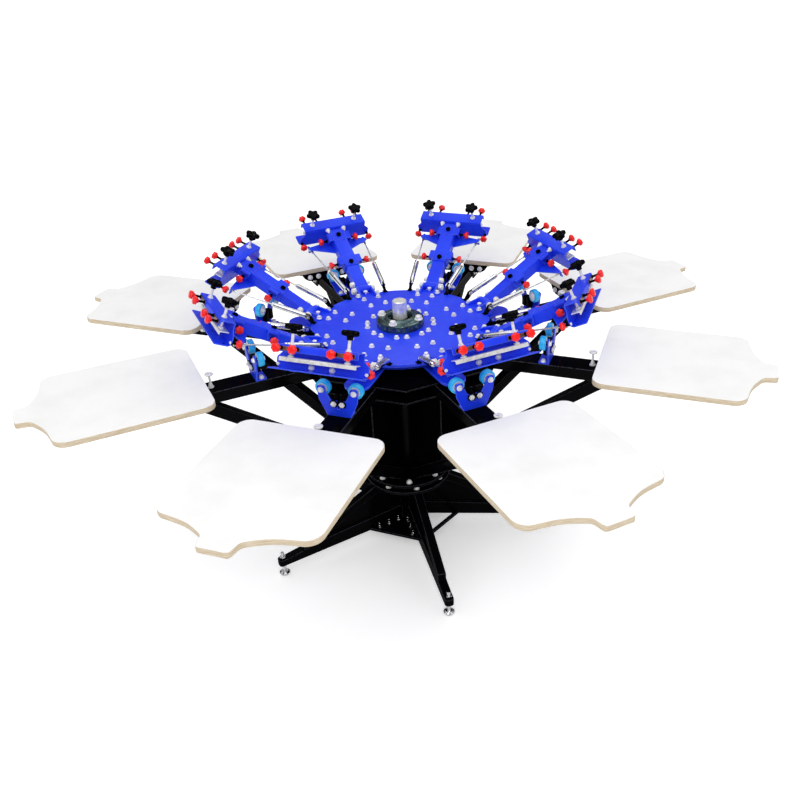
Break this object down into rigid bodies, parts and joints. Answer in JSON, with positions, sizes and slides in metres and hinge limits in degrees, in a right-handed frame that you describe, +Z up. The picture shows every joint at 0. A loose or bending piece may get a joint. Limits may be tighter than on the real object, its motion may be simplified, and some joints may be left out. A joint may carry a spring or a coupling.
{
  "type": "carousel screen printing press",
  "caption": "Floor-standing manual carousel press for screen printing on garments, with tilting print heads on a blue disc above print boards on a black frame.",
  "frame": {"origin": "on the floor, on the carousel's vertical axis", "axes": "+Z up along the centre shaft; a print board and its head lie 22.5 degrees from +X and then every 45 degrees; the picture looks along +Y"},
  "size_m": [2.332, 2.332, 1.1156],
  "materials": {
    "blue_paint": "glossy powder coat, saturated royal blue",
    "black_paint": "glossy black enamel",
    "black_fittings": "black oxide steel, slightly glossy",
    "chrome": "bright plated steel",
    "steel": "dark machined steel with turning marks",
    "board": "plywood with a white laminate top and cream edges",
    "red_plastic": "glossy red moulded knobs, black star knobs, plated studs",
    "wheel_rubber": "sky blue rubber tyre on a white plastic hub"
  },
  "bodies": {
    "stand": {"stand_frame": "black_paint", "levelling_feet": "chrome", "center_shaft": "chrome"},
    "board_carousel": {"carousel_hub": "black_paint", "board_arms": "black_paint", "board_brackets": "black_paint", "print_boards": "board", "registration_gates": "blue_paint"},
    "print_carousel": {"print_disc": "blue_paint", "head_hinges": "black_fittings", "shaft_collar": "steel", "disc_bolts": "chrome"},
    "print_head_1": {"head_1_arm": "blue_paint", "head_1_clamp": "blue_paint", "head_1_knobs": "red_plastic"},
    "lift_springs_1": {"head_1_springs": "chrome"},
    "gate_1_wheel_left": {"gate_1_wheel_left": "wheel_rubber"},
    "gate_1_wheel_right": {"gate_1_wheel_right": "wheel_rubber"},
    "print_head_2": {"head_2_arm": "blue_paint", "head_2_clamp": "blue_paint", "head_2_knobs": "red_plastic"},
    "lift_springs_2": {"head_2_springs": "chrome"},
    "gate_2_wheel_left": {"gate_2_wheel_left": "wheel_rubber"},
    "gate_2_wheel_right": {"gate_2_wheel_right": "wheel_rubber"},
    "print_head_3": {"head_3_arm": "blue_paint", "head_3_clamp": "blue_paint", "head_3_knobs": "red_plastic"},
    "lift_springs_3": {"head_3_springs": "chrome"},
    "gate_3_wheel_left": {"gate_3_wheel_left": "wheel_rubber"},
    "gate_3_wheel_right": {"gate_3_wheel_right": "wheel_rubber"},
    "print_head_4": {"head_4_arm": "blue_paint", "head_4_clamp": "blue_paint", "head_4_knobs": "red_plastic"},
    "lift_springs_4": {"head_4_springs": "chrome"},
    "gate_4_wheel_left": {"gate_4_wheel_left": "wheel_rubber"},
    "gate_4_wheel_right": {"gate_4_wheel_right": "wheel_rubber"},
    "print_head_5": {"head_5_arm": "blue_paint", "head_5_clamp": "blue_paint", "head_5_knobs": "red_plastic"},
    "lift_springs_5": {"head_5_springs": "chrome"},
    "gate_5_wheel_left": {"gate_5_wheel_left": "wheel_rubber"},
    "gate_5_wheel_right": {"gate_5_wheel_right": "wheel_rubber"},
    "print_head_6": {"head_6_arm": "blue_paint", "head_6_clamp": "blue_paint", "head_6_knobs": "red_plastic"},
    "lift_springs_6": {"head_6_springs": "chrome"},
    "gate_6_wheel_left": {"gate_6_wheel_left": "wheel_rubber"},
    "gate_6_wheel_right": {"gate_6_wheel_right": "wheel_rubber"},
    "print_head_7": {"head_7_arm": "blue_paint", "head_7_clamp": "blue_paint", "head_7_knobs": "red_plastic"},
    "lift_springs_7": {"head_7_springs": "chrome"},
    "gate_7_wheel_left": {"gate_7_wheel_left": "wheel_rubber"},
    "gate_7_wheel_right": {"gate_7_wheel_right": "wheel_rubber"},
    "print_head_8": {"head_8_arm": "blue_paint", "head_8_clamp": "blue_paint", "head_8_knobs": "red_plastic"},
    "lift_springs_8": {"head_8_springs": "chrome"},
    "gate_8_wheel_left": {"gate_8_wheel_left": "wheel_rubber"},
    "gate_8_wheel_right": {"gate_8_wheel_right": "wheel_rubber"}
  },
  "joints": [
    {"name": "board_carousel_spin", "type": "hinge", "parent": "stand", "child": "board_carousel", "pos_m": [0, 0, 0.5], "axis": [0, 0, 1], "continuous": true},
    {"name": "print_carousel_spin", "type": "hinge", "parent": "stand", "child": "print_carousel", "pos_m": [0, 0, 0.85], "axis": [0, 0, 1], "continuous": true},
    {"name": "head_1_tilt", "type": "hinge", "parent": "print_carousel", "child": "print_head_1", "pos_m": [0.31227, 0.12935, 0.862], "axis": [-0.3827, 0.9239, 0], "range_deg": [0, 25.4], "stiffness_Nm_per_rad": 12, "springref_deg": -85.94},
    {"name": "springs_1_swing", "type": "hinge", "parent": "print_carousel", "child": "lift_springs_1", "pos_m": [0.29102, 0.12054, 0.877], "axis": [-0.3827, 0.9239, 0], "range_deg": [0, 23.82]},
    {"name": "gate_1_wheel_left_spin", "type": "hinge", "parent": "board_carousel", "child": "gate_1_wheel_left", "pos_m": [0.45736, 0.24681, 0.87], "axis": [0.9239, 0.3827, 0], "continuous": true},
    {"name": "gate_1_wheel_right_spin", "type": "hinge", "parent": "board_carousel", "child": "gate_1_wheel_right", "pos_m": [0.49793, 0.14888, 0.87], "axis": [0.9239, 0.3827, 0], "continuous": true},
    {"name": "head_2_tilt", "type": "hinge", "parent": "print_carousel", "child": "print_head_2", "pos_m": [0.12935, 0.31227, 0.862], "axis": [-0.9239, 0.3827, 0], "range_deg": [0, 25.4], "stiffness_Nm_per_rad": 12, "springref_deg": -85.94},
    {"name": "springs_2_swing", "type": "hinge", "parent": "print_carousel", "child": "lift_springs_2", "pos_m": [0.12054, 0.29102, 0.877], "axis": [-0.9239, 0.3827, 0], "range_deg": [0, 23.82]},
    {"name": "gate_2_wheel_left_spin", "type": "hinge", "parent": "board_carousel", "child": "gate_2_wheel_left", "pos_m": [0.14888, 0.49793, 0.87], "axis": [0.3827, 0.9239, 0], "continuous": true},
    {"name": "gate_2_wheel_right_spin", "type": "hinge", "parent": "board_carousel", "child": "gate_2_wheel_right", "pos_m": [0.24681, 0.45736, 0.87], "axis": [0.3827, 0.9239, 0], "continuous": true},
    {"name": "head_3_tilt", "type": "hinge", "parent": "print_carousel", "child": "print_head_3", "pos_m": [-0.12935, 0.31227, 0.862], "axis": [-0.9239, -0.3827, 0], "range_deg": [0, 25.4], "stiffness_Nm_per_rad": 12, "springref_deg": -85.94},
    {"name": "springs_3_swing", "type": "hinge", "parent": "print_carousel", "child": "lift_springs_3", "pos_m": [-0.12054, 0.29102, 0.877], "axis": [-0.9239, -0.3827, 0], "range_deg": [0, 23.82]},
    {"name": "gate_3_wheel_left_spin", "type": "hinge", "parent": "board_carousel", "child": "gate_3_wheel_left", "pos_m": [-0.24681, 0.45736, 0.87], "axis": [-0.3827, 0.9239, 0], "continuous": true},
    {"name": "gate_3_wheel_right_spin", "type": "hinge", "parent": "board_carousel", "child": "gate_3_wheel_right", "pos_m": [-0.14888, 0.49793, 0.87], "axis": [-0.3827, 0.9239, 0], "continuous": true},
    {"name": "head_4_tilt", "type": "hinge", "parent": "print_carousel", "child": "print_head_4", "pos_m": [-0.31227, 0.12935, 0.862], "axis": [-0.3827, -0.9239, 0], "range_deg": [0, 25.4], "stiffness_Nm_per_rad": 12, "springref_deg": -85.94},
    {"name": "springs_4_swing", "type": "hinge", "parent": "print_carousel", "child": "lift_springs_4", "pos_m": [-0.29102, 0.12054, 0.877], "axis": [-0.3827, -0.9239, 0], "range_deg": [0, 23.82]},
    {"name": "gate_4_wheel_left_spin", "type": "hinge", "parent": "board_carousel", "child": "gate_4_wheel_left", "pos_m": [-0.49793, 0.14888, 0.87], "axis": [-0.9239, 0.3827, 0], "continuous": true},
    {"name": "gate_4_wheel_right_spin", "type": "hinge", "parent": "board_carousel", "child": "gate_4_wheel_right", "pos_m": [-0.45736, 0.24681, 0.87], "axis": [-0.9239, 0.3827, 0], "continuous": true},
    {"name": "head_5_tilt", "type": "hinge", "parent": "print_carousel", "child": "print_head_5", "pos_m": [-0.31227, -0.12935, 0.862], "axis": [0.3827, -0.9239, 0], "range_deg": [0, 25.4], "stiffness_Nm_per_rad": 12, "springref_deg": -85.94},
    {"name": "springs_5_swing", "type": "hinge", "parent": "print_carousel", "child": "lift_springs_5", "pos_m": [-0.29102, -0.12054, 0.877], "axis": [0.3827, -0.9239, 0], "range_deg": [0, 23.82]},
    {"name": "gate_5_wheel_left_spin", "type": "hinge", "parent": "board_carousel", "child": "gate_5_wheel_left", "pos_m": [-0.45736, -0.24681, 0.87], "axis": [-0.9239, -0.3827, 0], "continuous": true},
    {"name": "gate_5_wheel_right_spin", "type": "hinge", "parent": "board_carousel", "child": "gate_5_wheel_right", "pos_m": [-0.49793, -0.14888, 0.87], "axis": [-0.9239, -0.3827, 0], "continuous": true},
    {"name": "head_6_tilt", "type": "hinge", "parent": "print_carousel", "child": "print_head_6", "pos_m": [-0.12935, -0.31227, 0.862], "axis": [0.9239, -0.3827, 0], "range_deg": [0, 25.4], "stiffness_Nm_per_rad": 12, "springref_deg": -85.94},
    {"name": "springs_6_swing", "type": "hinge", "parent": "print_carousel", "child": "lift_springs_6", "pos_m": [-0.12054, -0.29102, 0.877], "axis": [0.9239, -0.3827, 0], "range_deg": [0, 23.82]},
    {"name": "gate_6_wheel_left_spin", "type": "hinge", "parent": "board_carousel", "child": "gate_6_wheel_left", "pos_m": [-0.14888, -0.49793, 0.87], "axis": [-0.3827, -0.9239, 0], "continuous": true},
    {"name": "gate_6_wheel_right_spin", "type": "hinge", "parent": "board_carousel", "child": "gate_6_wheel_right", "pos_m": [-0.24681, -0.45736, 0.87], "axis": [-0.3827, -0.9239, 0], "continuous": true},
    {"name": "head_7_tilt", "type": "hinge", "parent": "print_carousel", "child": "print_head_7", "pos_m": [0.12935, -0.31227, 0.862], "axis": [0.9239, 0.3827, 0], "range_deg": [0, 25.4], "stiffness_Nm_per_rad": 12, "springref_deg": -85.94},
    {"name": "springs_7_swing", "type": "hinge", "parent": "print_carousel", "child": "lift_springs_7", "pos_m": [0.12054, -0.29102, 0.877], "axis": [0.9239, 0.3827, 0], "range_deg": [0, 23.82]},
    {"name": "gate_7_wheel_left_spin", "type": "hinge", "parent": "board_carousel", "child": "gate_7_wheel_left", "pos_m": [0.24681, -0.45736, 0.87], "axis": [0.3827, -0.9239, 0], "continuous": true},
    {"name": "gate_7_wheel_right_spin", "type": "hinge", "parent": "board_carousel", "child": "gate_7_wheel_right", "pos_m": [0.14888, -0.49793, 0.87], "axis": [0.3827, -0.9239, 0], "continuous": true},
    {"name": "head_8_tilt", "type": "hinge", "parent": "print_carousel", "child": "print_head_8", "pos_m": [0.31227, -0.12935, 0.862], "axis": [0.3827, 0.9239, 0], "range_deg": [0, 25.4], "stiffness_Nm_per_rad": 12, "springref_deg": -85.94},
    {"name": "springs_8_swing", "type": "hinge", "parent": "print_carousel", "child": "lift_springs_8", "pos_m": [0.29102, -0.12054, 0.877], "axis": [0.3827, 0.9239, 0], "range_deg": [0, 23.82]},
    {"name": "gate_8_wheel_left_spin", "type": "hinge", "parent": "board_carousel", "child": "gate_8_wheel_left", "pos_m": [0.49793, -0.14888, 0.87], "axis": [0.9239, -0.3827, 0], "continuous": true},
    {"name": "gate_8_wheel_right_spin", "type": "hinge", "parent": "board_carousel", "child": "gate_8_wheel_right", "pos_m": [0.45736, -0.24681, 0.87], "axis": [0.9239, -0.3827, 0], "continuous": true}
  ],
  "couplings": [
    {"joint": "springs_1_swing", "follows": "head_1_tilt", "ratio": 0.9261},
    {"joint": "springs_2_swing", "follows": "head_2_tilt", "ratio": 0.9261},
    {"joint": "springs_3_swing", "follows": "head_3_tilt", "ratio": 0.9261},
    {"joint": "springs_4_swing", "follows": "head_4_tilt", "ratio": 0.9261},
    {"joint": "springs_5_swing", "follows": "head_5_tilt", "ratio": 0.9261},
    {"joint": "springs_6_swing", "follows": "head_6_tilt", "ratio": 0.9261},
    {"joint": "springs_7_swing", "follows": "head_7_tilt", "ratio": 0.9261},
    {"joint": "springs_8_swing", "follows": "head_8_tilt", "ratio": 0.9261}
  ]
}
